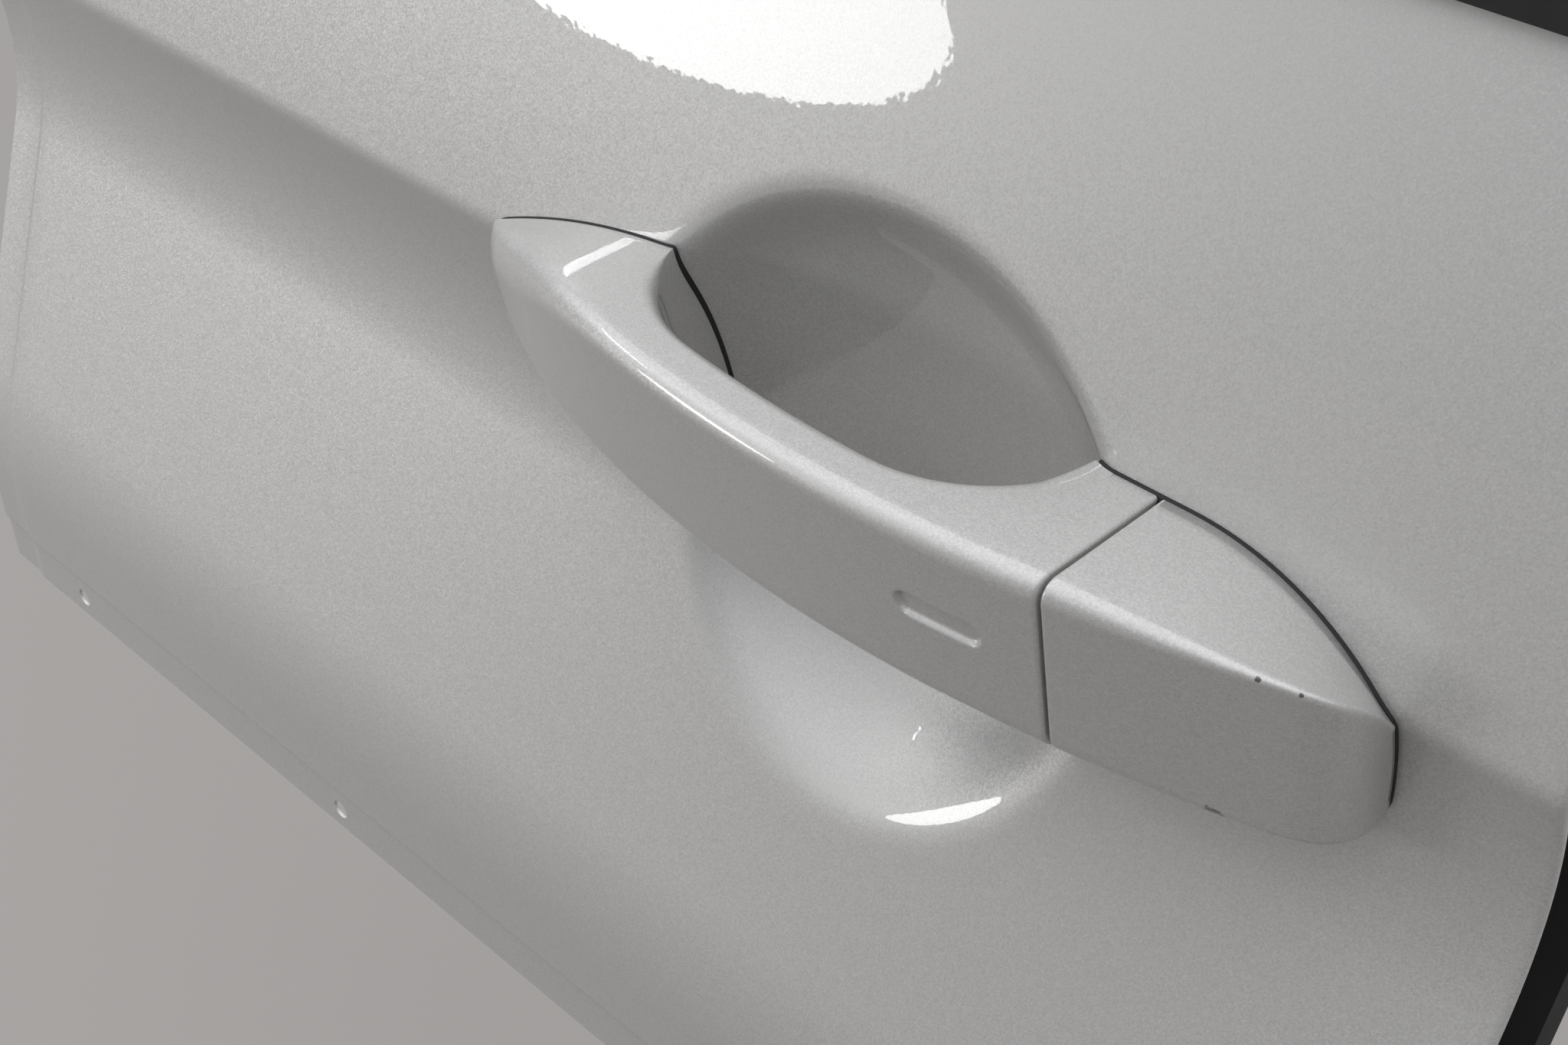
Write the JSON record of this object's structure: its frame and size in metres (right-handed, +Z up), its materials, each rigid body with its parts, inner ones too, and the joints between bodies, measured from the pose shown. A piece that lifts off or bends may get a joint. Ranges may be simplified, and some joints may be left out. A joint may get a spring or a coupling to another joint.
{
  "type": "exterior door pull handle on a section of door skin",
  "caption": "Pull-type outside door handle over a recessed cup, on the piece of front door skin that carries it, with carrier, bell crank and lock behind.",
  "frame": {"origin": "middle of the row of bolt holes in the lower lap flange, on the flange's outer face", "axes": "+X rearwards along the car, +Y inwards through the door, +Z up"},
  "size_m": [0.475, 0.12, 0.313],
  "materials": {
    "paint": "metallic clear-coated",
    "inner_paint": "thin satin coat",
    "seal_rubber": "matt sponge rubber",
    "trim_rubber": "satin",
    "gasket_rubber": "matt",
    "nylon": "glass-filled nylon",
    "steel": "zinc-plated",
    "spring_steel": "oiled spring steel",
    "screw_steel": "zinc-plated",
    "zinc": "die-cast zinc"
  },
  "bodies": {
    "door_section": {"door_skin": "paint", "shut_face": "inner_paint", "edge_seal": "seal_rubber", "belt_seal": "trim_rubber", "front_gasket": "gasket_rubber", "rear_gasket": "gasket_rubber", "cap": "paint", "carrier": "nylon", "hinge_pin": "steel", "crank_axle": "steel", "return_spring": "spring_steel", "lock_housing": "zinc", "retaining_screw": "screw_steel"},
    "pull_grip": {"grip": "paint", "hinge_arm": "nylon", "pull_hook": "nylon"},
    "crank": {"bell_crank": "nylon", "counterweight": "zinc"},
    "lock_core": {"lock_plug": "zinc", "lock_paddle": "steel"}
  },
  "joints": [
    {"name": "grip_pull", "type": "hinge", "parent": "door_section", "child": "pull_grip", "pos_m": [-0.0165, 0.04679, 0.1805], "axis": [0, 0, -1], "range_deg": [0, 10], "stiffness_Nm_per_rad": 28, "springref_deg": -4.58},
    {"name": "crank_turn", "type": "hinge", "parent": "door_section", "child": "crank", "pos_m": [0.16375, 0.06612, 0.20491], "axis": [-1, 0, 0], "range_deg": [0, 60]},
    {"name": "lock_turn", "type": "hinge", "parent": "door_section", "child": "lock_core", "pos_m": [0.1855, 0.06079, 0.1765], "axis": [0, 1, 0], "range_deg": [-50, 50], "stiffness_Nm_per_rad": 0.05}
  ],
  "couplings": [
    {"joint": "crank_turn", "follows": "grip_pull", "ratio": 6}
  ]
}
